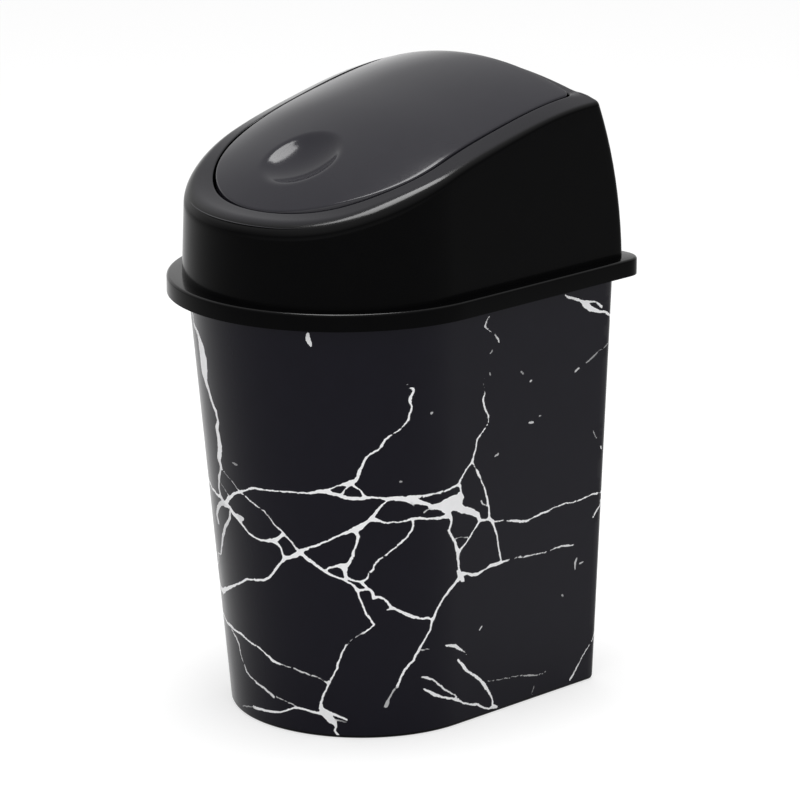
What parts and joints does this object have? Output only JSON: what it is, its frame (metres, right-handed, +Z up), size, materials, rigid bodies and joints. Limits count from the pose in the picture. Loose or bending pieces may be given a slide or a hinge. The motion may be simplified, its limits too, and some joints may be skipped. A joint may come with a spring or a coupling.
{
  "type": "swing lid waste bin",
  "caption": "Small free-standing waste bin with a tapered D-plan bucket in black marble print, a glossy lift-off hood and a see-saw push flap with a finger dimple.",
  "frame": {"origin": "on the floor, under the middle of the bin's outline seen from above", "axes": "+Z up, +X across the bin to its right seen from the rear, +Y from the round front with the finger dimple to the flat rear"},
  "size_m": [0.169, 0.211, 0.313],
  "materials": {
    "bucket_plastic": "satin moulded polypropylene",
    "marble_print": "satin printed film, black stone with white veins",
    "lid_plastic": "polished moulded polypropylene"
  },
  "bodies": {
    "bucket": {"bucket": "bucket_plastic", "marble_film": "marble_print"},
    "lid": {"hood": "lid_plastic"},
    "flap": {"flap": "lid_plastic"}
  },
  "joints": [
    {"name": "lid_lift", "type": "slide", "parent": "bucket", "child": "lid", "axis": [0, 0, 1], "range_m": [0, 0.15]},
    {"name": "flap_swing", "type": "hinge", "parent": "lid", "child": "flap", "pos_m": [0, -0.0228, 0.273], "axis": [1, 0, 0], "range_deg": [0, 52]}
  ]
}
